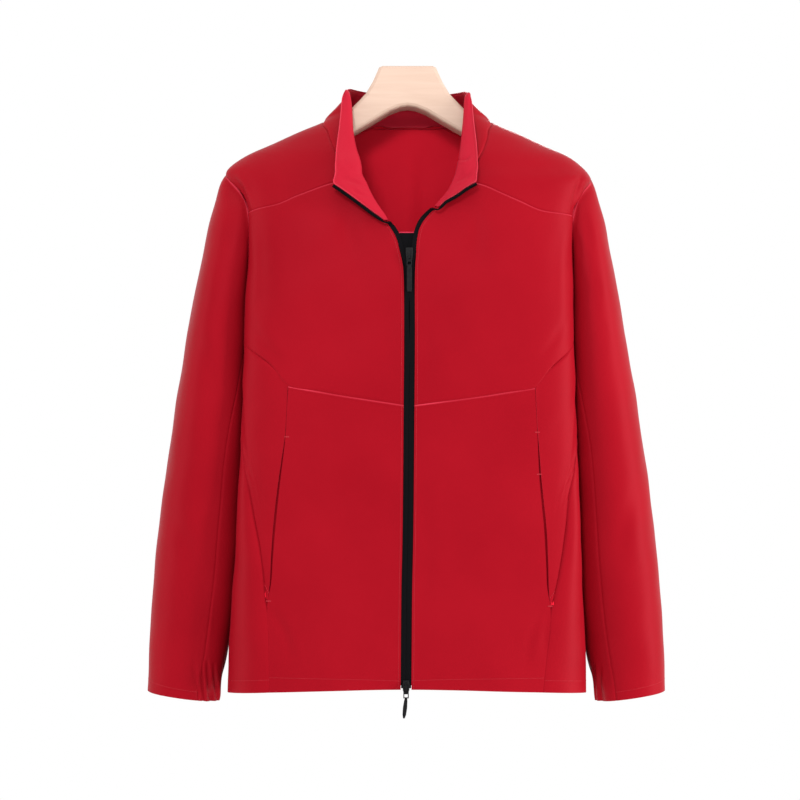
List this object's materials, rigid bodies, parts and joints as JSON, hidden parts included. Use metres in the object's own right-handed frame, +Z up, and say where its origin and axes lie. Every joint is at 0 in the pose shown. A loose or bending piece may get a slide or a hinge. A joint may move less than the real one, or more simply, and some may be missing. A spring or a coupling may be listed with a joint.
{
  "type": "hiking jacket hung on a wooden hanger",
  "caption": "Lightweight softshell hiking jacket with a stand collar, open neck, closed two-way front zip and slanted hand pockets, hanging on a flat wooden hanger.",
  "frame": {"origin": "middle of the flat top of the hanger's head, where the hanger is held", "axes": "+X to the wearer's left, +Y to the wearer's back, +Z up"},
  "size_m": [0.6483, 0.1662, 0.803],
  "materials": {
    "red_softshell": "matt, closely woven stretch softshell",
    "black_zip_tape": "woven tape with a plastic coil",
    "gunmetal": "dark satin plating",
    "pale_beech": "clear satin lacquer"
  },
  "bodies": {
    "jacket": {"chest_right": "red_softshell", "chest_left": "red_softshell", "lower_front_right": "red_softshell", "lower_front_left": "red_softshell", "side_front_right": "red_softshell", "side_front_left": "red_softshell", "side_panel_right": "red_softshell", "side_panel_left": "red_softshell", "yoke_right": "red_softshell", "yoke_left": "red_softshell", "back": "red_softshell", "sleeve_right": "red_softshell", "sleeve_left": "red_softshell", "undersleeve_right": "red_softshell", "undersleeve_left": "red_softshell", "collar": "red_softshell", "pocket_right": "red_softshell", "pocket_left": "red_softshell", "zip_tape_right": "black_zip_tape", "zip_tape_left": "black_zip_tape", "zip_guard": "black_zip_tape", "slider_upper": "gunmetal", "slider_lower": "gunmetal", "hanger": "pale_beech"},
    "upper_pull": {"pull_upper": "gunmetal"},
    "lower_pull": {"pull_lower": "gunmetal"}
  },
  "joints": [
    {"name": "upper_pull_hinge", "type": "hinge", "parent": "jacket", "child": "upper_pull", "pos_m": [0.0022, -0.08338, -0.2395], "axis": [-1, 0, 0], "range_deg": [0, 170]},
    {"name": "lower_pull_hinge", "type": "hinge", "parent": "jacket", "child": "lower_pull", "pos_m": [-0.00177, -0.07976, -0.765], "axis": [-1, 0, 0], "range_deg": [0, 170]}
  ]
}
